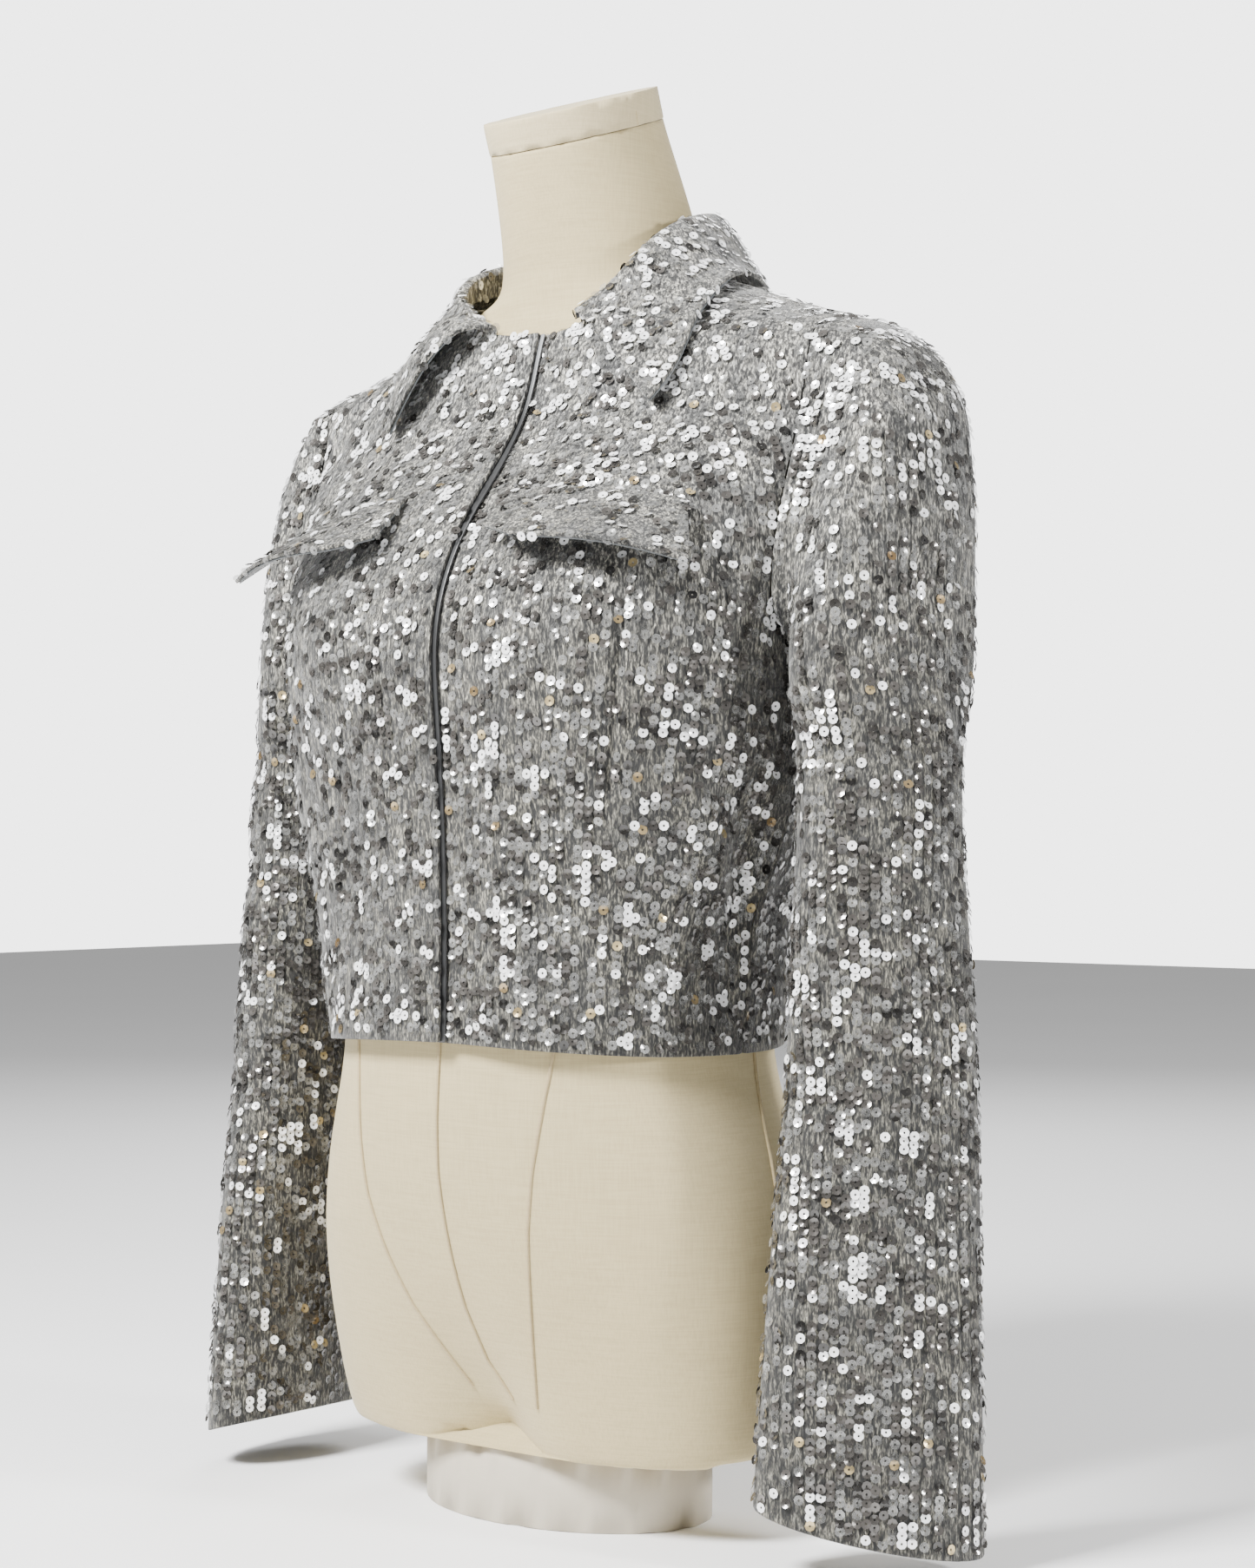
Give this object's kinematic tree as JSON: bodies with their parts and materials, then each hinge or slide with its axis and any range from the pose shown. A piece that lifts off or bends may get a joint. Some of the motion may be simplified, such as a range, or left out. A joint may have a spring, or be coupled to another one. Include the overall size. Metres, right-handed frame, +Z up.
{
  "type": "sequin jacket on dress form",
  "caption": "Cropped sequin jacket with a shirt collar, chest flaps and long sleeves, worn by a limbless linen dress form on a low base.",
  "frame": {"origin": "on the underside of the low base that carries the form, in the middle plane of the jacket and 10 mm in front of the middle of the base", "axes": "+Z up, -Y towards the front of the garment, +X towards the wearer's left"},
  "size_m": [0.4968, 0.246, 0.7771],
  "materials": {
    "sequin_cloth": "marled grey boucle, densely sewn with 5 mm clear silver, pewter and a few gold sequins",
    "satin_grey": "smooth grey satin",
    "linen": "cream linen cover, finely woven, stitched seams",
    "cap_linen": "cream linen over a hard cap",
    "pale_base": "pale, matt"
  },
  "bodies": {
    "root": {"back": "sequin_cloth", "front_left": "sequin_cloth", "front_right": "sequin_cloth", "sleeve_left": "sequin_cloth", "sleeve_right": "sequin_cloth", "collar": "sequin_cloth", "collar_underside_left": "satin_grey", "collar_underside_right": "satin_grey", "flap_left": "sequin_cloth", "flap_right": "sequin_cloth", "flap_lining_left": "satin_grey", "flap_lining_right": "satin_grey", "front_facing": "satin_grey", "dress_form": "linen", "neck_cap": "cap_linen", "form_base": "pale_base"}
  },
  "joints": []
}
